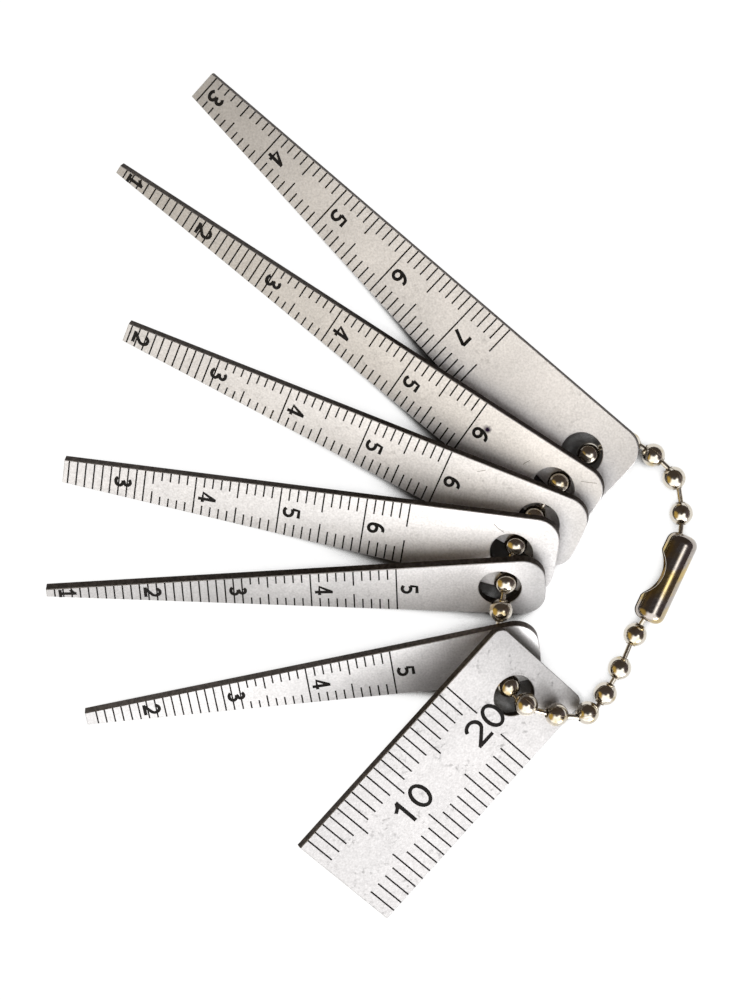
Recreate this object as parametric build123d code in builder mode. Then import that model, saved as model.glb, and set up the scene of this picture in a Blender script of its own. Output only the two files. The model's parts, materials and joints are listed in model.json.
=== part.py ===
"""A gap gauge: six taper blades and a small rule, strung on a closed ball chain.

Each blade widens by 1 mm in 8 mm of length, so a graduation along it reads the width of the
slot that the blade fills. The set lies as it was laid down: every blade rests on its lower long
edge and leans towards its neighbour, and the chain passes level through the tilted holes.
Millimetres, +Z up, origin under the middle of the whole set.
"""

import os
from math import atan, atan2, cos, radians, sin, sqrt, tan
from typing import NamedTuple

from build123d import *

os.makedirs("parts", exist_ok=True)


# Blades: one stamped strip each

TAPER = 1 / 8
THICKNESS = 0.9
HOLE_RADIUS = 2.0
BUTT_LENGTH = 3.9
BUTT_CORNER = 2.2
BUTT_BOW = 0.35
EDGE_BREAK = 0.06


class Blade(NamedTuple):
    """One taper blade, and how it lies.

    Widths are measured across the blade, at its tip and at its hole. hole_at is the hole's
    centre in plan, heading the plan direction from the hole to the tip, and roll how far the
    blade is tipped up about its lower long edge. bead is the place of the chain bead in the
    hole, from the hole's centre: towards the tip, towards the lower edge, and out of the face.
    """

    name: str
    tip_width: float
    tip_corner: float
    hole_width: float
    hole_at: tuple
    heading: float
    roll: float
    bead: tuple


BLADES = [
    Blade("blade_3_to_7p5", 2.92, 0.3, 9.1, (19.42, 4.49), 135.8, 16.0, (-0.5, -0.32, -0.25)),
    Blade("blade_1_to_6", 0.9, 0.4, 7.2, (16.83, 1.44), 143.7, 26.5, (-0.15, -0.7, 0.14)),
    Blade("blade_2_to_6", 1.95, 0.2, 7.25, (15.36, -1.71), 155.2, 29.0, (0.48, -0.3, 0.05)),
    Blade("blade_2p5_to_6p5", 2.44, 0.25, 7.75, (12.77, -4.47), 169.7, 30.0, (-0.3, -0.62, -0.15)),
    Blade("blade_1_to_5", 0.9, 0.4, 6.2, (11.63, -7.64), 180.7, 39.0, (-0.55, -0.42, 0.06)),
    Blade("blade_1p5_to_5", 1.37, 0.35, 6.2, (11.13, -14.17), 188.7, 32.0, (-0.3, -0.6, -0.35)),
]

# The small rule: a plain strip with the same hole

RULE_WIDTH = 12.0
RULE_REACH = 23.5
RULE_BUTT = 4.0
RULE_CORNER = 1.0
RULE_HOLE_AT = (12.61, -17.88)
RULE_HEADING = 227.9
RULE_ROLL = 26.0
RULE_BEAD = (-0.35, -0.68, -0.4)

# Ball chain: hollow beads, joined by short wires with a head inside each bead

BEAD_RADIUS = 1.1
BEAD_WALL = 0.12
NECK_RADIUS = 0.4
WIRE_RADIUS = 0.25
HEAD_RADIUS = 0.43
HEAD_THICKNESS = 0.15
HEAD_SLACK = 0.44
FACE_GAP = 0.1
SETTLING_ROUNDS = 40

# Beads next to the connector: how far off its line and beyond the end bead that it holds

BEAD_ABOVE_SLEEVE = (1.2, 3.18)
BEAD_BELOW_SLEEVE = (0.29, 3.11)

# Free beads: plan places in the chain's order, and how high each is held off the surface

BEADS_BEFORE_BLADES = [
    (27.95, 2.04, 0.0),
    (26.02, 4.20, 0.0),
    (23.75, 5.3, 0.0),
]
BEAD_BETWEEN_BLADES = (11.7, -10.25, 1.5)
BEAD_OVER_HOLE = (-0.15, 1.05, 1.3)
BEAD_ON_RULE_FACE = (-1.32, 4.03)
BEAD_PAST_RULE_EDGE = (-3.37, 0.39)
BEADS_AFTER_RULE = [
    (21.52, -18.1, 0.0),
    (22.87, -15.7, 0.0),
]

# Snap connector: a sheet sleeve round the two end beads, open along one side

SLEEVE_WALL = 0.28
SLEEVE_PLAY = 0.12
SLEEVE_LENGTH = 8.8
SLEEVE_ROUNDING = 0.9
SLOT_PLAY = 0.26
WAIST_DEPTH = 1.12
SLEEVE_MIDDLE = (27.13, -7.26)
SLEEVE_HEADING = 244.9


def lying_plane(hole_at, heading, roll, hole_width, taper):
    """The plane of a strip's underside at its hole: X towards the tip, Z out of its face."""
    half_taper = atan(taper / 2)
    tilt = radians(roll)
    edge_heading = radians(heading) - atan(tan(half_taper) * cos(tilt))
    edge = Vector(cos(edge_heading), sin(edge_heading), 0)
    level = Vector(-sin(edge_heading), cos(edge_heading), 0)
    normal = level * sin(tilt) + Vector(0, 0, cos(tilt))
    across = level * cos(tilt) - Vector(0, 0, sin(tilt))
    along = edge * cos(half_taper) + across * sin(half_taper)
    height = (hole_width / 2 * cos(half_taper) - EDGE_BREAK) * sin(tilt)
    return Plane(origin=(*hole_at, height), x_dir=along, z_dir=normal)


def blade_plane(blade):
    """Where a taper blade lies."""
    return lying_plane(blade.hole_at, blade.heading, blade.roll, blade.hole_width, TAPER)


def rule_plane():
    """Where the small rule lies."""
    return lying_plane(RULE_HOLE_AT, RULE_HEADING, RULE_ROLL, RULE_WIDTH, 0)


def in_strip(plane, along, across, out):
    """A point given from a hole's centre at mid-thickness."""
    return plane.from_local_coords(Vector(along, across, THICKNESS / 2 + out))


def finish_strip(piece, plane):
    """Breaks the sharp edges round both faces of a strip."""
    faces = piece.faces().filter_by(plane)
    chamfer(faces.edges(), EDGE_BREAK)


def make_blade(blade):
    """A taper blade: straight sides, a bowed butt end with round corners, and a hole."""
    plane = blade_plane(blade)
    reach = (blade.hole_width - blade.tip_width) / TAPER
    half_tip = blade.tip_width / 2
    half_butt = (blade.hole_width + BUTT_LENGTH * TAPER) / 2
    with BuildPart() as piece:
        with BuildSketch(plane) as outline:
            with BuildLine():
                sides = Polyline(
                    (-BUTT_LENGTH, -half_butt),
                    (reach, -half_tip),
                    (reach, half_tip),
                    (-BUTT_LENGTH, half_butt),
                )
                ThreePointArc(sides @ 1, (-BUTT_LENGTH - BUTT_BOW, 0), sides @ 0)
            make_face()
            corners = outline.vertices().sort_by(Axis.X)
            fillet(corners[:2], BUTT_CORNER)
            fillet(corners[2:], min(blade.tip_corner, 0.48 * blade.tip_width))
            Circle(HOLE_RADIUS, mode=Mode.SUBTRACT)
        extrude(amount=THICKNESS)
        finish_strip(piece, plane)
    return piece


def make_rule():
    """The small rule: square at its zero end, round-cornered at its hole end."""
    plane = rule_plane()
    length = RULE_REACH + RULE_BUTT
    with BuildPart() as piece:
        with BuildSketch(plane) as outline:
            with Locations(((RULE_REACH - RULE_BUTT) / 2, 0)):
                Rectangle(length, RULE_WIDTH)
            fillet(outline.vertices().sort_by(Axis.X)[:2], RULE_CORNER)
            Circle(HOLE_RADIUS, mode=Mode.SUBTRACT)
        extrude(amount=THICKNESS)
        finish_strip(piece, plane)
    return piece


def plane_along(origin, direction):
    """A plane through origin whose Y runs along direction, for turning a profile about Y."""
    side = Plane(origin=origin, z_dir=direction).x_dir
    return Plane(origin=origin, x_dir=side, z_dir=side.cross(direction))


def neck_ends():
    """How far along a bead's axis its neck holes leave the outer and the inner wall."""
    inner = BEAD_RADIUS - BEAD_WALL
    return sqrt(BEAD_RADIUS**2 - NECK_RADIUS**2), sqrt(inner**2 - NECK_RADIUS**2)


def make_bead(centre, direction):
    """A hollow bead with a neck hole at each end of its axis."""
    plane = plane_along(centre, direction)
    inner = BEAD_RADIUS - BEAD_WALL
    outer_neck, inner_neck = neck_ends()
    with BuildPart() as piece:
        with BuildSketch(plane):
            with BuildLine():
                shell = ThreePointArc(
                    (NECK_RADIUS, outer_neck), (BEAD_RADIUS, 0), (NECK_RADIUS, -outer_neck)
                )
                cavity = ThreePointArc(
                    (NECK_RADIUS, -inner_neck), (inner, 0), (NECK_RADIUS, inner_neck)
                )
                Line(shell @ 1, cavity @ 0)
                Line(cavity @ 1, shell @ 0)
            make_face()
        revolve(axis=Axis(centre, direction))
    return piece


def make_link(start, end):
    """A wire from one bead's neck to the next, with a domed head beyond each neck."""
    direction = (end - start).normalized()
    first = -HEAD_SLACK - BEAD_WALL / 2
    last = (end - start).length - first
    dome = (HEAD_RADIUS**2 + HEAD_THICKNESS**2) / (2 * HEAD_THICKNESS)
    shoulder = HEAD_RADIUS / 2
    rise = HEAD_THICKNESS - dome + sqrt(dome**2 - shoulder**2)
    with BuildPart() as piece:
        with BuildSketch(plane_along(start, direction)):
            with BuildLine():
                low = ThreePointArc(
                    (0, first - HEAD_THICKNESS), (shoulder, first - rise), (HEAD_RADIUS, first)
                )
                high = ThreePointArc(
                    (HEAD_RADIUS, last), (shoulder, last + rise), (0, last + HEAD_THICKNESS)
                )
                Polyline(low @ 1, (WIRE_RADIUS, first), (WIRE_RADIUS, last), high @ 0)
                Line(high @ 1, low @ 0)
            make_face()
        revolve(axis=Axis(start, direction))
    return piece


def waist_curve(outer, spacing):
    """Draws the open side's edge: round each end bead, and hollow between the two."""
    waist = outer - WAIST_DEPTH
    middle = spacing / 2
    hollow = (outer**2 - waist**2 - middle**2) / (2 * (waist - outer))
    turn = atan2(middle, waist + hollow)
    lobe = [Vector(outer * cos(turn * part), outer * sin(turn * part)) for part in (0, 0.5, 1)]
    far = [Vector(point.X, spacing - point.Y) for point in lobe]
    ThreePointArc(*lobe)
    ThreePointArc(lobe[2], (waist, middle), far[2])
    ThreePointArc(*reversed(far))
    return lobe[0], far[0]


def make_connector(top, heading, spacing):
    """The sleeve: it closes round both end beads, and its open side is waisted between them."""
    inner = BEAD_RADIUS + SLEEVE_PLAY
    outer = inner + SLEEVE_WALL
    slot = WIRE_RADIUS + SLOT_PLAY
    side = Vector(sin(radians(heading)), -cos(radians(heading)), 0)
    plane = Plane(origin=top, x_dir=side, z_dir=(0, 0, 1))
    axis = Axis(top, plane.y_dir)
    middle = spacing / 2
    with BuildPart() as piece:
        with BuildSketch(plane) as jacket:
            with Locations((0, middle)):
                Rectangle(outer, spacing + 2 * outer, align=(Align.MIN, Align.CENTER))
            fillet(jacket.vertices().sort_by(Axis.X)[2:], SLEEVE_ROUNDING)
        revolve(axis=axis)
        with BuildSketch(plane) as cavity:
            with Locations((0, middle)):
                Rectangle(inner, spacing + 2 * inner, align=(Align.MIN, Align.CENTER))
            fillet(cavity.vertices().sort_by(Axis.X)[2:], SLEEVE_ROUNDING - SLEEVE_WALL)
        revolve(axis=axis, mode=Mode.SUBTRACT)
        with BuildSketch(plane):
            with Locations((0, middle)):
                Rectangle(2 * outer, spacing + 4 * outer, align=(Align.MIN, Align.CENTER))
        extrude(amount=slot, both=True, mode=Mode.SUBTRACT)
        with BuildSketch(Plane(origin=top, z_dir=plane.y_dir)):
            Circle(slot)
        extrude(amount=spacing + 2 * outer, both=True, mode=Mode.SUBTRACT)
        with BuildSketch(plane):
            with BuildLine():
                lobes = waist_curve(outer, spacing)
                Polyline(lobes[0], (2 * outer, 0), (2 * outer, spacing), lobes[1])
            make_face()
        extrude(amount=outer, both=True, mode=Mode.SUBTRACT)
    return piece


def chain_places():
    """The beads' centres in the chain's order, from the connector's top end to its lower end."""
    on_surface = BEAD_RADIUS
    over_face = THICKNESS / 2 + BEAD_RADIUS + FACE_GAP
    sleeve_radius = BEAD_RADIUS + SLEEVE_PLAY + SLEEVE_WALL
    middle = Vector(*SLEEVE_MIDDLE, sleeve_radius)
    run = Vector(1, 0, 0).rotate(Axis.Z, SLEEVE_HEADING)
    side = Vector(0, 1, 0).rotate(Axis.Z, SLEEVE_HEADING)
    half = run * (SLEEVE_LENGTH / 2 - sleeve_radius)
    top, bottom = middle - half, middle + half
    lower = Vector(0, 0, on_surface - sleeve_radius)
    across, along = BEAD_ABOVE_SLEEVE
    above = top - side * across - run * along + lower
    across, along = BEAD_BELOW_SLEEVE
    below = bottom - side * across + run * along + lower
    before = [Vector(x, y, on_surface + lift) for x, y, lift in BEADS_BEFORE_BLADES]
    strung = [in_strip(blade_plane(blade), *blade.bead) for blade in BLADES]
    x, y, lift = BEAD_BETWEEN_BLADES
    strung.insert(-1, Vector(x, y, on_surface + lift))
    rule = rule_plane()
    along, past_edge = BEAD_PAST_RULE_EDGE
    on_rule = [
        in_strip(rule, *RULE_BEAD),
        in_strip(rule, *BEAD_OVER_HOLE),
        in_strip(rule, *BEAD_ON_RULE_FACE, over_face),
        in_strip(rule, along, RULE_WIDTH / 2 + past_edge, over_face),
    ]
    after = [Vector(x, y, on_surface + lift) for x, y, lift in BEADS_AFTER_RULE]
    return [top, above, *before, *strung, *on_rule, *after, below, bottom]


def bead_directions(centres):
    """Each bead's axis, once it has settled evenly between the wires that pull at its necks."""
    neck = sum(neck_ends()) / 2
    axes = [Vector() for _ in centres]
    for _ in range(SETTLING_ROUNDS):
        wires = [
            (end - after * neck - start - before * neck).normalized()
            for start, before, end, after in zip(centres, axes, centres[1:], axes[1:])
        ]
        pulls = zip(axes, [wires[0], *wires], [*wires, wires[-1]])
        axes = [(4 * axis + behind + ahead).normalized() for axis, behind, ahead in pulls]
    return axes


def make_set():
    """Every piece of the set by name."""
    pieces = {blade.name: make_blade(blade) for blade in BLADES}
    pieces["small_rule"] = make_rule()
    centres = chain_places()
    directions = bead_directions(centres)
    neck = sum(neck_ends()) / 2
    for n, (centre, direction) in enumerate(zip(centres, directions), start=1):
        pieces[f"bead_{n:02}"] = make_bead(centre, direction)
    for n in range(len(centres) - 1):
        start = centres[n] + directions[n] * neck
        end = centres[n + 1] - directions[n + 1] * neck
        pieces[f"link_{n + 1:02}"] = make_link(start, end)
    spacing = (centres[-1] - centres[0]).length
    pieces["chain_connector"] = make_connector(centres[0], SLEEVE_HEADING, spacing)
    return pieces


def middle_of(pieces):
    """The point under the middle of the whole set, on the surface that it lies on."""
    boxes = [piece.part.bounding_box() for piece in pieces.values()]
    low_x, high_x = min(box.min.X for box in boxes), max(box.max.X for box in boxes)
    low_y, high_y = min(box.min.Y for box in boxes), max(box.max.Y for box in boxes)
    return Vector((low_x + high_x) / 2, (low_y + high_y) / 2, min(box.min.Z for box in boxes))


pieces = make_set()
origin = middle_of(pieces)
for name, piece in pieces.items():
    placed = piece.part.moved(Location(-origin))
    placed.label = name
    export_step(placed, f"parts/{name}.step")
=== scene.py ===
"""Looks of a gap gauge: six taper blades and a small rule, strung on a closed ball chain.

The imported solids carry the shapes. This script gives them their steel and nickel, lays the
graduations and numbers on the faces, adds the lips and seams of the beads, and sets the table,
the light and the camera. Sizes are in millimetres in the dataclass fields and in metres in
Blender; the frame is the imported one, +Z up from the table.
"""

import json
import logging
from collections.abc import Callable, Iterable, Sequence
from dataclasses import dataclass, field
from enum import Enum
from math import cos, hypot, pi, radians, sin

import bmesh
import bpy
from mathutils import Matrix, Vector


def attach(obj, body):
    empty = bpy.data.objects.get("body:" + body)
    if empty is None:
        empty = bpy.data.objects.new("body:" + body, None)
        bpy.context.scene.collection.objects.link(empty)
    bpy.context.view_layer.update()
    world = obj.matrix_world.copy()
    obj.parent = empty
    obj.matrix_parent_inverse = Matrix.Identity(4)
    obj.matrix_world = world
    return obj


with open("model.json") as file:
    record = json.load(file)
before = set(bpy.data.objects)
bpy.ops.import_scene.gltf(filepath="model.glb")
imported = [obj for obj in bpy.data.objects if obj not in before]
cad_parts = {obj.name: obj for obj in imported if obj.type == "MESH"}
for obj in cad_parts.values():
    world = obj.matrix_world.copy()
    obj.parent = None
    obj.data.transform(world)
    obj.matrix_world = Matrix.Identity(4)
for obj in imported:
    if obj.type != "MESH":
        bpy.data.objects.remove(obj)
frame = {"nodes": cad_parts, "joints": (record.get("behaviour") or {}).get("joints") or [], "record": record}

log = logging.getLogger("gap_gauge")

MM = 0.001

Point = tuple[float, float]
Colour = tuple[float, float, float]
PaintedLightTones = tuple[float, float, float]
Socket = bpy.types.NodeSocket
Ring = Sequence[bmesh.types.BMVert]


class MarkLength(Enum):
    """How far a graduation reaches in from the edge, as a share of the blade's width."""

    FULL = 0.5
    MIDDLE = 0.385
    SHORT = 0.26


class Foot(Enum):
    """Whether a figure 1 stands on a bar."""

    BAR = "bar"
    NONE = "none"


# Material nodes


class Nodes:
    """A node tree, with one short call for each kind of node that the finishes and the room use."""

    def __init__(self, tree: bpy.types.NodeTree) -> None:
        """Takes a tree and empties it.

        Args:
            tree: The tree of a material or of the world.
        """
        self.tree = tree
        self.tree.nodes.clear()

    def node(self, kind: str) -> bpy.types.Node:
        """A new node, from the end of its type's name."""
        return self.tree.nodes.new(f"ShaderNode{kind}")

    def link(self, source: Socket, target: Socket) -> None:
        """Joins two sockets."""
        self.tree.links.new(source, target)

    def feed(self, target: Socket, value: object) -> None:
        """Gives a socket a value, or a link where the value is another socket.

        Args:
            target: The socket that is fed.
            value: A number, a tuple or an output socket.
        """
        if isinstance(value, Socket):
            self.link(value, target)
        else:
            target.default_value = value

    def place(self) -> Socket:
        """The position on the object."""
        return self.node("TexCoord").outputs["Object"]

    def facing(self) -> Socket:
        """The surface's own direction on the object."""
        return self.node("TexCoord").outputs["Normal"]

    def moved(
        self, place: Socket, shift: Sequence[float], stretch: Sequence[float] = (1, 1, 1)
    ) -> Socket:
        """A position shifted and stretched.

        Args:
            place: The position socket.
            shift: How far to shift it, in metres.
            stretch: The scale along each axis.

        Returns:
            The new position socket.
        """
        node = self.node("Mapping")
        self.link(place, node.inputs["Vector"])
        node.inputs["Location"].default_value = tuple(shift)
        node.inputs["Scale"].default_value = tuple(stretch)
        return node.outputs["Vector"]

    def noise(self, place: Socket, size_mm: float, detail: float = 3.0) -> Socket:
        """Cloudy variation.

        Args:
            place: The position socket.
            size_mm: The size of one cloud.
            detail: How many finer layers it has.

        Returns:
            The noise value, about 0.5 on average.
        """
        node = self.node("TexNoise")
        self.link(place, node.inputs["Vector"])
        node.inputs["Scale"].default_value = 1 / (size_mm * MM)
        node.inputs["Detail"].default_value = detail
        return node.outputs["Fac"]

    def ramp(self, value: Socket, stops: Sequence[tuple[float, Colour]]) -> Socket:
        """A colour read from a value.

        Args:
            value: The value socket.
            stops: Positions from 0 to 1 with their colours.

        Returns:
            The colour socket.
        """
        node = self.node("ValToRGB")
        self.link(value, node.inputs["Fac"])
        elements = node.color_ramp.elements
        while len(elements) < len(stops):
            elements.new(1.0)
        for element, (position, colour) in zip(elements, stops):
            element.position = position
            element.color = (*colour, 1)
        return node.outputs["Color"]

    def span(
        self, value: Socket, source: Point, target: Point = (0.0, 1.0), eased: bool = False
    ) -> Socket:
        """A value carried from one range to another, held at its ends.

        Args:
            value: The value socket.
            source: The range it comes from.
            target: The range it goes to.
            eased: Whether it sets off and arrives softly.

        Returns:
            The new value socket.
        """
        node = self.node("MapRange")
        node.interpolation_type = "SMOOTHSTEP" if eased else "LINEAR"
        self.link(value, node.inputs["Value"])
        names = ("From Min", "From Max", "To Min", "To Max")
        for name, number in zip(names, (*source, *target)):
            node.inputs[name].default_value = number
        return node.outputs["Result"]

    def math(self, kind: str, first: object, second: object = 0.0) -> Socket:
        """One sum of two values, such as MULTIPLY or MAXIMUM.

        Args:
            kind: The operation's name.
            first: A socket or number.
            second: A socket or number.

        Returns:
            The result socket.
        """
        node = self.node("Math")
        node.operation = kind
        self.feed(node.inputs[0], first)
        self.feed(node.inputs[1], second)
        return node.outputs["Value"]

    def blend(self, first: Socket, second: Socket, share: float) -> Socket:
        """Two values added by their shares.

        Args:
            first: The first value.
            second: The second value.
            share: How much of the second there is.

        Returns:
            The value socket.
        """
        kept = self.math("MULTIPLY", first, 1.0 - share)
        return self.math("ADD", kept, self.math("MULTIPLY", second, share))

    def along(self, vector: Socket, direction: Sequence[float]) -> Socket:
        """How much of a vector runs along a direction."""
        node = self.node("VectorMath")
        node.operation = "DOT_PRODUCT"
        self.link(vector, node.inputs[0])
        node.inputs[1].default_value = tuple(direction)
        return node.outputs["Value"]

    def distance(self, place: Socket, point: Sequence[float]) -> Socket:
        """How far a position is from a point, in metres."""
        node = self.node("VectorMath")
        node.operation = "DISTANCE"
        self.link(place, node.inputs[0])
        node.inputs[1].default_value = tuple(point)
        return node.outputs["Value"]

    def mixed(self, share: object, first: object, second: object) -> Socket:
        """A blend of two colours.

        Args:
            share: How much of the second there is.
            first: A colour or socket.
            second: A colour or socket.

        Returns:
            The colour socket.
        """
        node = self.node("Mix")
        node.data_type = "RGBA"
        self.feed(node.inputs["Factor"], share)
        for target, value in ((node.inputs[6], first), (node.inputs[7], second)):
            self.feed(target, (*value, 1) if isinstance(value, tuple) else value)
        return node.outputs[2]

    def tinted(self, tone: Socket, tint: Colour) -> Socket:
        """A colour of a fixed hue from a brightness.

        Args:
            tone: The brightness socket.
            tint: The share of red, green and blue.

        Returns:
            The colour socket.
        """
        node = self.node("CombineColor")
        for target, share in zip(node.inputs, tint):
            self.link(self.math("MULTIPLY", tone, share), target)
        return node.outputs["Color"]

    def bump(self, height: Socket, strength: float, depth_mm: float) -> Socket:
        """A normal from a height.

        Args:
            height: The height socket, from 0 to 1.
            strength: How much of it shows.
            depth_mm: The height from low to high.

        Returns:
            The normal socket.
        """
        node = self.node("Bump")
        node.inputs["Strength"].default_value = strength
        node.inputs["Distance"].default_value = depth_mm * MM
        self.link(height, node.inputs["Height"])
        return node.outputs["Normal"]


class Graph(Nodes):
    """A material's own tree, with its surface shader and its output."""

    def __init__(self, name: str) -> None:
        """Starts the material.

        Args:
            name: The material's name.
        """
        self.material = bpy.data.materials.new(name)
        self.material.use_nodes = True
        super().__init__(self.material.node_tree)
        self.output = self.node("OutputMaterial")
        self.shader = self.node("BsdfPrincipled")
        self.link(self.shader.outputs["BSDF"], self.output.inputs["Surface"])


# Finishes


@dataclass(frozen=True)
class SatinSteel:
    """Blasted stainless sheet with an optional ink stain; its side walls are darker, partly from the rough
    shear and partly painted shade.

    The three brightness values are painted light and shade: the brightness at the hole, at the middle and at
    the tip, set for each strip to stand in for how the light falls on it.
    """

    name: str
    seat: "Seat"
    reach: float
    tones: PaintedLightTones
    stain_at: Point | None = None
    tint: Colour = (1.0, 0.982, 0.985)
    # middle_share places the middle brightness; butt_share, butt_from and butt_to set the painted shade
    # behind the hole.
    middle_share: float = 0.6
    butt_share: float = 0.78
    pitting: float = 0.12
    roughness: Point = (0.50, 0.62)
    grain: float = 0.22
    cloud_mm: float = 4.5
    grain_mm: float = 0.19
    speck_mm: float = 0.42
    wear_mm: float = 2.6
    streak_mm: float = 0.3
    butt_from: float = -3.5
    butt_to: float = 1.0
    # The side walls' near-black colours are partly the rough shear and partly painted shade for the dark
    # that they mirror.
    edge: Colour = (0.055, 0.046, 0.040)
    edge_bright: Colour = (0.132, 0.1104, 0.096)
    stain: Colour = (0.02, 0.008, 0.035)
    stain_radii: Point = (0.34, 0.66)
    stain_ragged: float = 0.35

    def tone(self, graph: Graph, place: Socket) -> Socket:
        """Painted light and shade along the strip: the brightness at the hole, the middle and the tip, and
        painted shade behind the hole.

        Args:
            graph: The material's tree.
            place: The position socket.

        Returns:
            The brightness socket.
        """
        run = graph.along(graph.moved(place, -self.seat.middle), self.seat.along)
        hole_tone, middle_tone, tip_tone = self.tones
        middle, tip = self.reach * self.middle_share * MM, self.reach * MM
        near = graph.span(run, (0.0, middle), (hole_tone, middle_tone))
        far = graph.span(run, (middle, tip), (1.0, tip_tone / middle_tone))
        # Painted shade behind the hole: from butt_share of the brightness up to full.
        butt = graph.span(run, (self.butt_from * MM, self.butt_to * MM), (self.butt_share, 1.0))
        return graph.math("MULTIPLY", graph.math("MULTIPLY", near, far), butt)

    def stained(self, graph: Graph, place: Socket, colour: Socket) -> Socket:
        """The colour with a small ragged blot of ink over it.

        Args:
            graph: The material's tree.
            place: The position socket.
            colour: The colour of the steel.

        Returns:
            The colour socket.
        """
        rim = graph.noise(place, self.stain_ragged, 2.0)
        ragged = graph.math("MULTIPLY", rim, self.stain_ragged * MM)
        reach = graph.math("ADD", graph.distance(place, self.seat.point(*self.stain_at)), ragged)
        inner, outer = self.stain_radii
        return graph.mixed(graph.span(reach, (inner * MM, outer * MM), (1.0, 0.0)), colour, self.stain)

    def material(self) -> bpy.types.Material:
        """Builds the material.

        Returns:
            The finished material.
        """
        graph = Graph(self.name)
        shader = graph.shader.inputs
        place = graph.place()
        cloud = graph.noise(place, self.cloud_mm, 5.0)
        grain = graph.noise(place, self.grain_mm, 2.0)
        speck = graph.noise(place, self.speck_mm, 3.0)
        variety = graph.blend(cloud, grain, 0.55)
        variety = graph.span(variety, (0.3, 0.7), (1.0 - self.grain, 1.0 + self.grain * 0.6))
        worn = graph.span(graph.noise(place, self.wear_mm, 2.0), (0.50, 0.62))
        pits = graph.math("MULTIPLY", graph.span(speck, (0.56, 0.68), (0.0, self.pitting)), worn)
        # The brightness here is painted light and shade along the strip, times the grain and the pits.
        tone = graph.math("MULTIPLY", self.tone(graph, place), variety)
        tone = graph.math("MULTIPLY", tone, graph.math("SUBTRACT", 1.0, pits))
        # Side walls: near black, partly rough shear with striations and partly painted shade.
        turned = graph.math("ABSOLUTE", graph.along(graph.facing(), self.seat.out))
        side = graph.span(turned, (0.50, 0.32))
        streak = graph.noise(graph.moved(place, (0, 0, 0), (1, 1, 0.2)), self.streak_mm, 2.0)
        sheared_and_shaded = graph.ramp(streak, ((0.35, self.edge), (0.75, self.edge_bright)))
        colour = graph.mixed(side, graph.tinted(tone, self.tint), sheared_and_shaded)
        if self.stain_at is not None:
            colour = self.stained(graph, place, colour)
        graph.link(colour, shader["Base Color"])
        shader["Metallic"].default_value = 1.0
        rough = graph.span(graph.blend(cloud, speck, 0.5), (0.3, 0.7), self.roughness)
        graph.link(graph.math("ADD", rough, graph.math("MULTIPLY", side, 0.12)), shader["Roughness"])
        graph.link(graph.bump(graph.blend(grain, speck, 0.3), 0.35, 0.012), shader["Normal"])
        return graph.material


@dataclass(frozen=True)
class NickelPlate:
    """Bright plated chain metal, with warm cloudy patches that are partly the metal's own tint and partly a
    painted reflection of a warm room.
    """

    name: str
    bright: Colour = (0.66, 0.61, 0.53)
    warm: Colour = (0.50, 0.40, 0.22)
    dark: Colour = (0.20, 0.16, 0.12)
    roughness: float = 0.10
    cloud_mm: float = 1.5
    thin_plating: Point = (0.30, 0.43)

    def material(self) -> bpy.types.Material:
        """Builds the material.

        Returns:
            The finished material.
        """
        graph = Graph(self.name)
        shader = graph.shader.inputs
        place = graph.place()
        cloud = graph.noise(place, self.cloud_mm, 3.0)
        smear = graph.noise(graph.moved(place, (0.003, 0.001, 0), (1, 1.6, 1)), 0.5, 3.0)
        # Warm cloudy patches: partly the metal's own tint, partly a painted reflection of the warm room.
        colour = graph.mixed(graph.span(cloud, self.thin_plating), self.warm, self.bright)
        tarnish = graph.span(smear, (0.60, 0.78), (0.0, 0.55))
        graph.link(graph.mixed(tarnish, colour, self.dark), shader["Base Color"])
        shader["Metallic"].default_value = 1.0
        rough = graph.span(smear, (0.35, 0.75), (self.roughness, self.roughness + 0.14))
        graph.link(rough, shader["Roughness"])
        graph.link(graph.bump(smear, 0.10, 0.006), shader["Normal"])
        return graph.material


@dataclass(frozen=True)
class EtchedMark:
    """Blackened etching of the graduations and numbers, a little worn."""

    name: str
    black: Colour = (0.012, 0.011, 0.011)
    worn: Colour = (0.030, 0.027, 0.025)

    def material(self) -> bpy.types.Material:
        """Builds the material.

        Returns:
            The finished material.
        """
        graph = Graph(self.name)
        shader = graph.shader.inputs
        place = graph.place()
        wear = graph.noise(place, 0.35, 4.0)
        graph.link(graph.ramp(wear, ((0.42, self.black), (0.78, self.worn))), shader["Base Color"])
        graph.link(graph.span(wear, (0.3, 0.7), (0.55, 0.8)), shader["Roughness"])
        shader["Specular IOR Level"].default_value = 0.08
        graph.link(graph.bump(wear, 0.2, 0.004), shader["Normal"])
        return graph.material


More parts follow.
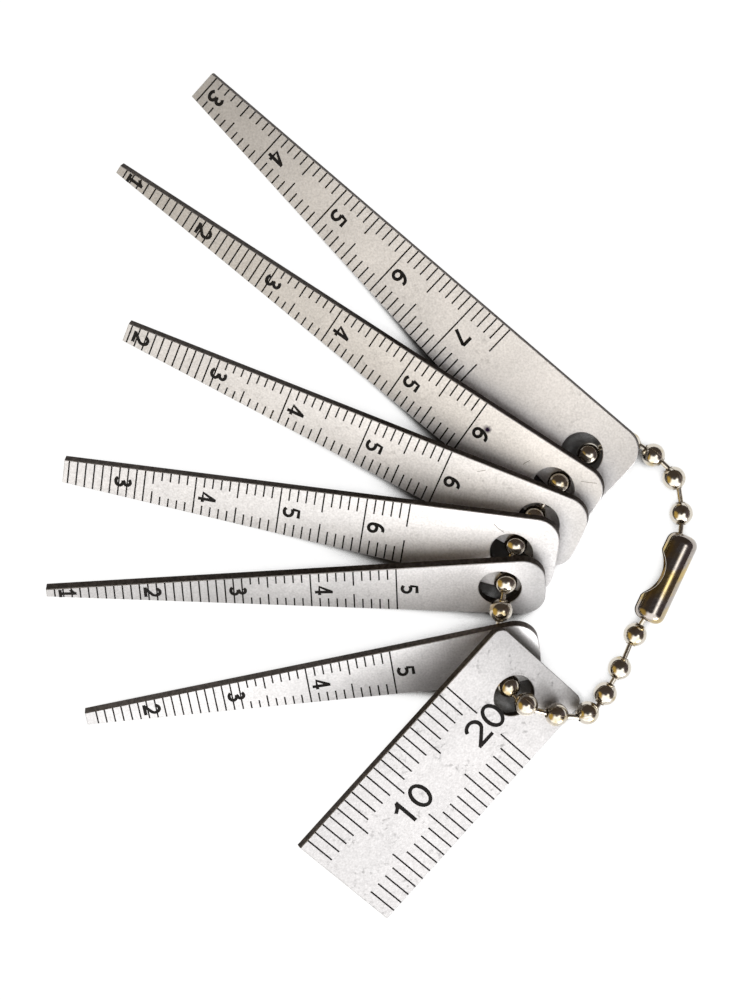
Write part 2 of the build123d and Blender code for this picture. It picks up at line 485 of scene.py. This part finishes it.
@dataclass(frozen=True)
class PaleTable:
    """The plain white surface under the set: white to the eye, with a soft shadow that is partly real and
    partly painted shade, darker where ambient occlusion finds the set close by.
    """

    name: str = "pale_table"
    colour: Colour = (0.45, 0.45, 0.45)
    shaded: Colour = (0.12, 0.115, 0.11)
    own_white: float = 0.74
    glow: float = 1.33
    shade_reach_mm: float = 7.0
    shade_samples: int = 16
    open_share: Point = (0.30, 0.48)

    def material(self) -> bpy.types.Material:
        """Builds the material.

        Returns:
            The finished material.
        """
        graph = Graph(self.name)
        shader = graph.shader.inputs
        shader["Roughness"].default_value = 0.9
        shader["Specular IOR Level"].default_value = 0.1
        glow = graph.node("Emission")
        glow.inputs["Strength"].default_value = self.glow
        # Painted shade: where the set is close by, the table turns to the shaded colour and loses its own
        # white.
        shade = graph.node("AmbientOcclusion")
        shade.samples = self.shade_samples
        shade.inputs["Distance"].default_value = self.shade_reach_mm * MM
        open_sky = graph.span(shade.outputs["AO"], self.open_share)
        graph.link(graph.mixed(open_sky, self.shaded, self.colour), shader["Base Color"])
        blend = graph.node("MixShader")
        path = graph.node("LightPath")
        seen = graph.math("MAXIMUM", path.outputs["Is Camera Ray"], path.outputs["Is Glossy Ray"])
        seen = graph.math("MAXIMUM", seen, path.outputs["Is Transmission Ray"])
        own = graph.math("MULTIPLY", open_sky, self.own_white)
        graph.link(graph.math("MULTIPLY", seen, own), blend.inputs["Fac"])
        graph.link(graph.shader.outputs["BSDF"], blend.inputs[1])
        graph.link(glow.outputs["Emission"], blend.inputs[2])
        graph.link(blend.outputs["Shader"], graph.output.inputs["Surface"])
        return graph.material


# Drawing on a face


@dataclass(frozen=True)
class Seat:
    """Where a strip lies: its hole's centre on the face, and its own three directions."""

    middle: Vector
    along: Vector
    across: Vector
    out: Vector

    @classmethod
    def of_joint(cls, name: str, heading: float, thickness: float) -> "Seat":
        """Reads a strip's place from the joint that it turns on.

        Args:
            name: The joint's name.
            heading: The plan direction from the hole to the tip, in degrees.
            thickness: The strip's thickness in millimetres.

        Returns:
            The strip's seat.
        """
        joint = next(joint for joint in frame["joints"] if joint["name"] == name)
        out = -Vector(joint["axis"]).normalized()
        plan = Vector((cos(radians(heading)), sin(radians(heading)), 0))
        plan.z = -(out.x * plan.x + out.y * plan.y) / out.z
        along = plan.normalized()
        return cls(Vector(joint["pos_m"]) + out * thickness * MM, along, out.cross(along), out)

    def point(self, along: float, across: float, lift: float = 0.0) -> Vector:
        """A point on the face, or lifted off it, from millimetres.

        Args:
            along: From the hole's centre towards the tip.
            across: From the centre line towards the lower edge.
            lift: Out of the face.

        Returns:
            The point in metres.
        """
        return self.middle + (self.along * along + self.across * across + self.out * lift) * MM


@dataclass
class FaceDrawing:
    """Thin raised strokes on a strip's face, gathered into one mesh."""

    seat: Seat
    lift: float
    step: float = 0.0004
    strokes: int = 0
    mesh: bmesh.types.BMesh = field(default_factory=bmesh.new)

    def stroke(self, points: Sequence[Point], width: float, closed: bool = False) -> None:
        """Lays one stroke of even width along a run of points.

        Args:
            points: The middle line, as (along, across) in millimetres.
            width: The stroke's width.
            closed: Whether the run comes back to its start.
        """
        self.strokes += 1
        top = self.lift + self.step * (self.strokes % 5)
        count = len(points)
        rings = []
        for index, (x, y) in enumerate(points):
            before = points[index - 1] if index or closed else points[index]
            after = points[(index + 1) % count] if index < count - 1 or closed else points[index]
            run_x, run_y = after[0] - before[0], after[1] - before[1]
            length = hypot(run_x, run_y) or 1.0
            side_x, side_y = -run_y / length * width / 2, run_x / length * width / 2
            ring = []
            for sign, height in ((-1, 0.0), (-1, top), (1, top), (1, 0.0)):
                place = self.seat.point(x + sign * side_x, y + sign * side_y, height)
                ring.append(self.mesh.verts.new(place))
            rings.append(ring)
        pairs = list(zip(rings, rings[1:]))
        if closed:
            pairs.append((rings[-1], rings[0]))
        else:
            self.mesh.faces.new(rings[0])
            self.mesh.faces.new(list(reversed(rings[-1])))
        for ring, following in pairs:
            join_rings(self.mesh, ring, following, closed=False)


def join_rings(shape: bmesh.types.BMesh, ring: Ring, following: Ring, closed: bool) -> None:
    """Lays faces between two rings of corners.

    Args:
        shape: The mesh that they are added to.
        ring: The corners of the first ring.
        following: The corners of the next one.
        closed: Whether the last corner joins the first.
    """
    count = len(ring)
    for corner in range(count if closed else count - 1):
        beyond = (corner + 1) % count
        shape.faces.new((ring[corner], following[corner], following[beyond], ring[beyond]))


def make_piece(
    name: str, shape: bmesh.types.BMesh, body: str, material: bpy.types.Material, smooth: bool = False
) -> None:
    """Turns a finished mesh into a piece that rides on a body.

    Args:
        name: The piece's name.
        shape: The mesh, which is freed.
        body: The body it moves with.
        material: Its material.
        smooth: Whether its faces are shaded smooth.
    """
    bmesh.ops.recalc_face_normals(shape, faces=shape.faces)
    for face in shape.faces:
        face.smooth = smooth
    mesh = bpy.data.meshes.new(name)
    shape.to_mesh(mesh)
    shape.free()
    mesh.materials.append(material)
    piece = bpy.data.objects.new(name, mesh)
    bpy.context.scene.collection.objects.link(piece)
    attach(piece, body)


def arc(centre: Point, radii: Point, start: float, end: float, steps: int = 16) -> list[Point]:
    """Points on an ellipse.

    Args:
        centre: The middle of the ellipse.
        radii: Its half width and half height.
        start: The first angle in degrees, anticlockwise from the right.
        end: The last angle.
        steps: How many pieces the arc has.

    Returns:
        The points in order.
    """
    angles = [radians(start + (end - start) * step / steps) for step in range(steps + 1)]
    return [(centre[0] + radii[0] * cos(angle), centre[1] + radii[1] * sin(angle)) for angle in angles]


Draw = Callable[[FaceDrawing], None]


@dataclass(frozen=True)
class Figures:
    """A plain sans set of figures, drawn as strokes in a cell one unit high."""

    height: float
    width: float
    weight: float
    foot: Foot
    pitch: float = 1.22

    def lines(self, figure: str) -> list[tuple[list[Point], bool]]:
        """The strokes of one figure.

        Args:
            figure: A single character from 0 to 7.

        Returns:
            Each stroke's middle line in a cell from (-0.5, -0.5) to (0.5, 0.5), and whether it
            is closed.
        """
        x, y = 0.5 - self.weight / self.width / 2, 0.5 - self.weight / self.height / 2
        if figure == "0":
            return [(arc((0, 0), (x, y), 0, 345, 23), True)]
        if figure == "1":
            flag = [(-0.34, y - 0.22), (-0.10, y - 0.13), (0.06, y + 0.02)]
            strokes = [(flag, False), ([(0.06, 0.5), (0.06, -0.5)], False)]
            if self.foot is Foot.BAR:
                strokes.append(([(-0.34, -y), (0.44, -y)], False))
            return strokes
        if figure == "2":
            bowl = arc((0, y - 0.27), (x, 0.27), 165, -32, 14)
            neck = [*bowl, (0.02, -0.18), (-x + 0.02, -y + 0.02)]
            return [(neck, False), ([(-0.5, -y), (0.5, -y)], False)]
        if figure == "3":
            upper = arc((-0.04, 0.235), (x - 0.08, y - 0.235), 150, -90, 14)
            lower = arc((-0.04, (0.0 - y) / 2), (x + 0.02, y / 2), 90, -152, 14)
            return [([*upper, (-0.14, 0.0)], False), ([(-0.14, 0.0), *lower], False)]
        if figure == "4":
            arm = [(0.5, -0.24), (-x, -0.24), (0.16, y), (0.22, y)]
            return [(arm, False), ([(0.20, 0.5), (0.20, -0.5)], False)]
        if figure == "5":
            bowl = arc((-0.06, -0.17), (x + 0.04, y - 0.17), 118, -142, 16)
            top = [(0.42, y), (-x + 0.10, y), (-x + 0.04, 0.04)]
            return [(top, False), ([(-x + 0.04, 0.04), *bowl], False)]
        if figure == "6":
            bowl = arc((0, -0.18), (x, y - 0.18), 0, 342, 19)
            stem = arc((0.12, -0.10), (x + 0.12, y + 0.10), 182, 72, 12)
            return [(bowl, True), (stem, False)]
        return [([(-0.5, y), (x, y), (x, y - 0.06), (-0.16, -0.5)], False)]

    def write(self, drawing: FaceDrawing, text: str, middle: Point, upward: Point) -> None:
        """Writes a number on a face.

        Args:
            drawing: The face's drawing.
            text: The figures, centred together.
            middle: The middle of the number, as (along, across) in millimetres.
            upward: The figures' upward direction on the face.
        """
        rightward = (upward[1], -upward[0])
        pitch = self.width * self.pitch
        for index, figure in enumerate(text):
            shift = (index - (len(text) - 1) / 2) * pitch
            for points, closed in self.lines(figure):
                places = []
                for x, y in points:
                    run, rise = shift + x * self.width, y * self.height
                    along = middle[0] + rightward[0] * run + upward[0] * rise
                    places.append((along, middle[1] + rightward[1] * run + upward[1] * rise))
                drawing.stroke(places, self.weight, closed)


# The strips


@dataclass
class Strip:
    """A stamped strip with a hole, which turns on its own joint."""

    node: str
    heading: float
    # The three brightness values are painted light and shade at the hole, the middle and the tip.
    tones: PaintedLightTones
    thickness: float = field(default=0.9, kw_only=True)
    edge_break: float = field(default=0.06, kw_only=True)
    mark_lift: float = field(default=0.010, kw_only=True)
    number_lift: float = field(default=0.014, kw_only=True)

    def __post_init__(self) -> None:
        """Finds where the strip lies."""
        self.seat = Seat.of_joint(f"{self.node}_swivel", self.heading, self.thickness)

    def build_marks(self, drawing: FaceDrawing) -> None:
        """Draws the graduations."""
        raise NotImplementedError

    def build_numbers(self, drawing: FaceDrawing) -> None:
        """Writes the numbers."""
        raise NotImplementedError

    def lay(self, layer: str, lift: float, draw: Draw, material: bpy.types.Material) -> None:
        """Draws one layer on the face as a piece of its own, which rides on the strip.

        Args:
            layer: What the layer holds, for its name.
            lift: How far it stands out of the face.
            draw: The method that draws it.
            material: Its material.
        """
        drawing = FaceDrawing(self.seat, lift)
        draw(drawing)
        make_piece(f"{self.node}_{layer}", drawing.mesh, self.node, material)

    def mark(self, etched: bpy.types.Material) -> None:
        """Lays the graduations and the numbers."""
        self.lay("graduations", self.mark_lift, self.build_marks, etched)
        self.lay("numbers", self.number_lift, self.build_numbers, etched)


@dataclass
class TaperBlade(Strip):
    """One taper blade: its width at any line is that line's number in millimetres."""

    hole_width: float
    first: float
    last: float
    whole_lines_below: float = 3.15
    stain: Point | None = None
    scratches: tuple[tuple[Point, Point], ...] = ()
    roughness: Point = (0.50, 0.62)
    # butt_share: painted shade behind the hole, as a share of the brightness there.
    butt_share: float = 0.78
    per_unit: float = 8.0
    line_width: float = 0.14
    scratch_width: float = 0.045
    scratch_lift: float = 0.004
    figure_gap: float = 1.2
    figures: Figures = Figures(1.68, 1.15, 0.31, Foot.BAR)

    def reach(self, width: float) -> float:
        """How far from the hole the blade has a width, in millimetres."""
        return (self.hole_width - width) * self.per_unit

    def mark_length(self, tenths: int) -> MarkLength:
        """Which length the line at a width has.

        Args:
            tenths: The width in tenths of a millimetre.

        Returns:
            The line's length.
        """
        if tenths % 10 == 0 or tenths < self.whole_lines_below * 10:
            return MarkLength.FULL
        return MarkLength.MIDDLE if tenths % 5 == 0 else MarkLength.SHORT

    def build_marks(self, drawing: FaceDrawing) -> None:
        """Draws a line for each tenth of a millimetre of width."""
        for tenths in range(round(self.first * 10), round(self.last * 10) + 1):
            width = tenths / 10
            along, edge = self.reach(width), width / 2 - self.edge_break
            length = self.mark_length(tenths)
            if length is MarkLength.FULL:
                drawing.stroke([(along, -edge), (along, edge)], self.line_width)
                continue
            inner = width / 2 - length.value * width
            for sign in (-1, 1):
                drawing.stroke([(along, sign * edge), (along, sign * inner)], self.line_width)

    def build_numbers(self, drawing: FaceDrawing) -> None:
        """Writes each whole number beside its line, upright towards the hole."""
        for number in range(1, 8):
            if self.first <= number <= self.last:
                middle = (self.reach(number) - self.figure_gap, 0.0)
                self.figures.write(drawing, str(number), middle, (-1.0, 0.0))

    def build_scratches(self, drawing: FaceDrawing) -> None:
        """Draws the fine scratches of use, each a little bent."""
        for start, end in self.scratches:
            bend = ((start[0] + end[0]) / 2 + 0.06, (start[1] + end[1]) / 2 + 0.05)
            drawing.stroke([start, bend, end], self.scratch_width)

    def dress(self, etched: bpy.types.Material, scratched: bpy.types.Material) -> None:
        """Gives the blade its steel, its graduations, its numbers and its scratches.

        Args:
            etched: The material of the marks.
            scratched: The material of the scratches.
        """
        steel = SatinSteel(
            f"steel_of_{self.node}", self.seat, self.reach(self.first), self.tones, self.stain,
            butt_share=self.butt_share, roughness=self.roughness,
        )
        paint(self.node, steel.material())
        self.mark(etched)
        if self.scratches:
            self.lay("scratches", self.scratch_lift, self.build_scratches, scratched)
        log.info("%s: lines from %.1f to %.1f", self.node, self.first, self.last)


@dataclass
class SmallRule(Strip):
    """The small rule: millimetre lines along both long edges, numbered at 10 and 20."""

    width: float = 12.0
    reach: float = 23.5
    lines: int = 20
    short_line: float = 3.3
    long_line: float = 4.3
    line_width: float = 0.15
    pitting: float = 0.32
    figures_ahead: float = 0.25
    figures_up: float = 0.3
    figures: Figures = Figures(2.85, 1.85, 0.37, Foot.NONE, pitch=1.14)

    def build_marks(self, drawing: FaceDrawing) -> None:
        """Draws a line for each millimetre from the square end, on both edges."""
        edge = self.width / 2 - self.edge_break
        for millimetres in range(1, self.lines + 1):
            along = self.reach - millimetres
            length = self.long_line if millimetres % 5 == 0 else self.short_line
            inner = self.width / 2 - length
            for sign in (-1, 1):
                drawing.stroke([(along, sign * edge), (along, sign * inner)], self.line_width)

    def build_numbers(self, drawing: FaceDrawing) -> None:
        """Writes every tenth millimetre on its line, reading towards the hole."""
        for number in range(10, self.lines + 1, 10):
            middle = (self.reach - number + self.figures_ahead, -self.figures_up)
            self.figures.write(drawing, str(number), middle, (0.0, -1.0))

    def dress(self, etched: bpy.types.Material) -> None:
        """Gives the rule its steel, its graduations and its numbers.

        Args:
            etched: The material of the marks.
        """
        steel = SatinSteel(
            f"steel_of_{self.node}", self.seat, self.reach, self.tones, pitting=self.pitting
        )
        paint(self.node, steel.material())
        self.mark(etched)
        log.info("%s: 1 to %d mm on both edges", self.node, self.lines)


def paint(node: str, material: bpy.types.Material) -> None:
    """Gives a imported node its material.

    Args:
        node: The node's name.
        material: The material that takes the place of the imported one.
    """
    slots = frame["nodes"][node].material_slots
    for slot in slots:
        slot.material = material


def middle_of(node: str) -> Vector:
    """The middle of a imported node's box, in metres."""
    shape = frame["nodes"][node]
    places = [shape.matrix_world @ Vector(corner) for corner in shape.bound_box]
    return sum(places, Vector()) / len(places)


def body_of(node: str) -> str:
    """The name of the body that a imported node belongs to."""
    groups = frame["record"]["behaviour"]["bodies"]
    return next(body for body, nodes in groups.items() if node in nodes)


# The chain


@dataclass
class BallChain:
    """The beads and the wires between them, with each bead's neck lips and rolled seam."""

    connector: str
    beads: int = 20
    bead_radius: float = 1.1
    lip_radius: float = 0.43
    lip_thickness: float = 0.035
    lip_steps: int = 24
    lip_sides: int = 6
    seam_width: float = 0.05
    seam_height: float = 0.006
    seam_root: float = 0.01
    seam_steps: int = 8
    seam_crown: tuple[float, float, float] = (0.55, -0.1, 0.8)
    seam_lean: float = 0.2
    seam_start: float = 0.28
    bead_plate: NickelPlate = NickelPlate("nickel_beads")
    wire_plate: NickelPlate = NickelPlate("nickel_wires", roughness=0.18, cloud_mm=0.8)
    seam_plate: NickelPlate = NickelPlate(
        "nickel_seams", (0.26, 0.21, 0.15), (0.20, 0.14, 0.07), (0.06, 0.05, 0.04),
        roughness=0.3, cloud_mm=0.6,
    )

    def neighbours(self, number: int) -> list[Vector]:
        """The middles of the pieces that a bead's two necks face.

        Args:
            number: The bead's number.

        Returns:
            The middle of the piece before it and of the piece after it, in metres.
        """
        before = f"link_{number - 1:02}" if number > 1 else self.connector
        after = f"link_{number:02}" if number < self.beads else self.connector
        return [middle_of(before), middle_of(after)]

    def build_lip(self, shape: bmesh.types.BMesh, centre: Vector, axis: Vector) -> None:
        """Adds the rolled lip round one neck.

        Args:
            shape: The mesh that it is added to.
            centre: The bead's middle.
            axis: The direction of the neck.
        """
        side = axis.orthogonal().normalized()
        up = axis.cross(side)
        ring_at = centre + axis * (self.bead_radius**2 - self.lip_radius**2) ** 0.5 * MM
        rings = []
        for turn in range(self.lip_steps):
            angle = 2 * pi * turn / self.lip_steps
            outward = side * cos(angle) + up * sin(angle)
            middle = ring_at + outward * self.lip_radius * MM
            ring = []
            for part in range(self.lip_sides):
                around = 2 * pi * part / self.lip_sides
                rolled = outward * cos(around) + axis * sin(around)
                ring.append(shape.verts.new(middle + rolled * self.lip_thickness * MM))
            rings.append(ring)
        for ring, following in zip(rings, rings[1:] + rings[:1]):
            join_rings(shape, ring, following, closed=True)

    def build_seam(self, shape: bmesh.types.BMesh, centre: Vector, necks: Sequence[Vector]) -> None:
        """Adds the closed seam that runs from neck to neck over the bead's upper side.

        Args:
            shape: The mesh that it is added to.
            centre: The bead's middle.
            necks: The directions of the two necks.
        """
        lean = (necks[0] - necks[1]).normalized() * self.seam_lean
        crown = (Vector(self.seam_crown) - lean).normalized()
        start, end = (neck.slerp(crown, self.seam_start) for neck in necks)
        steps = self.seam_steps
        rise = [start.slerp(crown, step / steps) for step in range(steps)]
        run = rise + [crown.slerp(end, step / steps) for step in range(steps + 1)]
        root, top = -self.seam_root, self.seam_height
        profile = ((-1, root), (-1, top), (1, top), (1, root))
        rings = []
        for index, outward in enumerate(run):
            ahead = (run[min(index + 1, len(run) - 1)] - run[max(index - 1, 0)]).normalized()
            sideways = outward.cross(ahead) * self.seam_width / 2
            places = (outward * (self.bead_radius + lift) + sideways * sign for sign, lift in profile)
            rings.append([shape.verts.new(centre + place * MM) for place in places])
        for ring, following in zip(rings, rings[1:]):
            join_rings(shape, ring, following, closed=False)

    def dress(self) -> None:
        """Gives beads and wires their metal, and each bead its lips and its seam."""
        plates = (self.bead_plate, self.wire_plate, self.seam_plate)
        bead, wire, seam = (plate.material() for plate in plates)
        for number in range(1, self.beads + 1):
            node = f"bead_{number:02}"
            paint(node, bead)
            centre = middle_of(node)
            necks = [(place - centre).normalized() for place in self.neighbours(number)]
            details = bmesh.new()
            for neck in necks:
                self.build_lip(details, centre, neck)
            self.build_seam(details, centre, necks)
            make_piece(f"{node}_lips_and_seam", details, body_of(node), seam, smooth=True)
        for number in range(1, self.beads):
            paint(f"link_{number:02}", wire)
        log.info("ball chain: %d beads", self.beads)


@dataclass
class ChainConnector:
    """The snap connector that closes the chain, a folded and plated sheet."""

    node: str = "chain_connector"
    # The sleeve's strong warm patches are a painted reflection of the warm room.
    plate: NickelPlate = NickelPlate(
        "nickel_sleeve", (0.42, 0.38, 0.35), (0.54, 0.41, 0.18), (0.12, 0.10, 0.10),
        roughness=0.09, cloud_mm=2.2, thin_plating=(0.40, 0.58),
    )

    def dress(self) -> None:
        """Gives the connector its metal."""
        paint(self.node, self.plate.material())
        log.info("%s: plated sheet", self.node)


# The studio


@dataclass(frozen=True)
class Patch:
    """A soft patch of colour in the room, where a direction's likeness to it is in reach."""

    direction: tuple[float, float, float]
    reach: Point
    colour: Colour


@dataclass
class Studio:
    """White table, a dim room with a pale wall, one soft window, and the camera straight above."""

    picture_middle: Point = (0.355, -0.387)
    height: float = 265.0
    lens: float = 101.6
    film: float = 36.0
    table_side: float = 4000.0
    table_drop: float = 0.01
    window_at: tuple[float, float, float] = (231.0, -435.0, 92.0)
    window_size: Point = (240.0, 150.0)
    window_watts: float = 0.90
    room: Colour = (0.07, 0.055, 0.045)
    pale_wall: Patch = Patch((0.1, -0.9, 0.45), (0.30, 0.76), (1.86, 1.85, 1.83))
    warm_corner: Patch = Patch((-0.85, -0.25, 0.35), (0.76, 0.95), (0.62, 0.42, 0.10))
    dark_corner: Patch = Patch((0.95, -0.15, 0.35), (0.74, 0.93), (0.10, 0.08, 0.085))
    dark_zenith: Patch = Patch((0.0, 0.0, 1.0), (0.92, 0.99), (0.08, 0.07, 0.07))
    ceiling_lamp: Patch = Patch((0.45, -0.21, 0.87), (0.987, 0.996), (2.6, 2.6, 2.5))

    @property
    def patches(self) -> tuple[Patch, ...]:
        """The room's patches, each laid over those before it."""
        return (self.pale_wall, self.warm_corner, self.dark_corner, self.dark_zenith, self.ceiling_lamp)

    def set_table(self) -> None:
        """Lays the white surface."""
        shape = bmesh.new()
        bmesh.ops.create_grid(shape, x_segments=2, y_segments=2, size=self.table_side / 2 * MM)
        mesh = bpy.data.meshes.new("table")
        shape.to_mesh(mesh)
        shape.free()
        mesh.materials.append(PaleTable().material())
        table = bpy.data.objects.new("table", mesh)
        table.location.z = -self.table_drop * MM
        bpy.context.scene.collection.objects.link(table)

    def set_world(self) -> None:
        """Surrounds the set with the room that its metal mirrors."""
        world = bpy.data.worlds.new("room")
        bpy.context.scene.world = world
        world.use_nodes = True
        nodes = Nodes(world.node_tree)
        looked_at = nodes.node("TexCoord").outputs["Generated"]
        colour = self.room
        for patch in self.patches:
            towards = nodes.along(looked_at, Vector(patch.direction).normalized())
            colour = nodes.mixed(nodes.span(towards, patch.reach, eased=True), colour, patch.colour)
        background = nodes.node("Background")
        nodes.link(colour, background.inputs["Color"])
        output = nodes.node("OutputWorld")
        nodes.link(background.outputs["Background"], output.inputs["Surface"])

    def set_window(self) -> None:
        """Hangs a low, soft window on the near side, which looks at the middle of the set."""
        data = bpy.data.lights.new("window", "AREA")
        data.shape = "RECTANGLE"
        data.size, data.size_y = (side * MM for side in self.window_size)
        data.energy = self.window_watts
        window = bpy.data.objects.new("window", data)
        window.location = Vector(self.window_at) * MM
        window.rotation_euler = (-window.location).to_track_quat("-Z", "Y").to_euler()
        bpy.context.scene.collection.objects.link(window)

    def set_camera(self) -> None:
        """Puts the camera straight above the middle of the picture."""
        data = bpy.data.cameras.new("camera")
        data.lens = self.lens
        data.sensor_width = self.film
        data.clip_start, data.clip_end = 0.01, 20.0
        camera = bpy.data.objects.new("camera", data)
        camera.location = Vector((*self.picture_middle, self.height)) * MM
        bpy.context.scene.collection.objects.link(camera)
        bpy.context.scene.camera = camera


def blades() -> Iterable[TaperBlade]:
    """The six taper blades, from the widest at the top of the fan to the lowest.

    Returns:
        The blades in order.
    """
    return (
        # Each blade's three brightness values are painted light and shade at its hole, its middle and its
        # tip, set apart for each blade to stand in for how the light falls on it.
        TaperBlade("blade_3_to_7p5", 135.8, (0.95, 0.83, 0.55), 9.1, 3.0, 7.5, whole_lines_below=0.0),
        TaperBlade(
            "blade_1_to_6", 143.7, (0.96, 0.67, 0.49), 7.2, 1.0, 6.0, stain=(8.15, -0.85),
            scratches=(((-1.7, -2.2), (-3.0, -3.0)), ((3.55, -0.1), (3.25, -0.85))),
        ),
        TaperBlade(
            "blade_2_to_6", 155.2, (0.88, 0.76, 0.63), 7.25, 2.0, 6.0,
            scratches=(((7.1, -2.2), (6.45, -2.7)),),
        ),
        TaperBlade(
            "blade_2p5_to_6p5", 169.7, (0.95, 0.67, 0.66), 7.75, 2.5, 6.5, whole_lines_below=3.45,
            scratches=(((2.1, -2.75), (1.0, -2.0)),),
        ),
        TaperBlade(
            "blade_1_to_5", 180.7, (0.92, 0.50, 0.49), 6.2, 1.0, 5.0, whole_lines_below=3.25,
            # A deeper painted shade behind this blade's hole.
            butt_share=0.52,
        ),
        TaperBlade(
            "blade_1p5_to_5", 188.7, (0.97, 0.59, 0.55), 6.2, 1.5, 5.0, whole_lines_below=3.25,
            roughness=(0.34, 0.44),
        ),
    )


def main() -> None:
    """Builds the looks in order."""
    logging.basicConfig(level=logging.INFO, format="%(name)s: %(message)s")
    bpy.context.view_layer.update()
    bpy.context.scene.view_settings.view_transform = "Standard"
    studio = Studio()
    studio.set_camera()
    etched = EtchedMark("etched_black").material()
    scratched = EtchedMark("fine_scratch", (0.20, 0.18, 0.16), (0.34, 0.31, 0.28)).material()
    for blade in blades():
        blade.dress(etched, scratched)
    # The rule's three brightness values are painted light and shade, as for the blades.
    SmallRule("small_rule", 227.9, (0.66, 0.61, 0.56)).dress(etched)
    connector = ChainConnector()
    BallChain(connector.node).dress()
    connector.dress()
    studio.set_table()
    studio.set_world()
    studio.set_window()
    log.info("looks are complete")


if __name__ == "__main__":
    main()
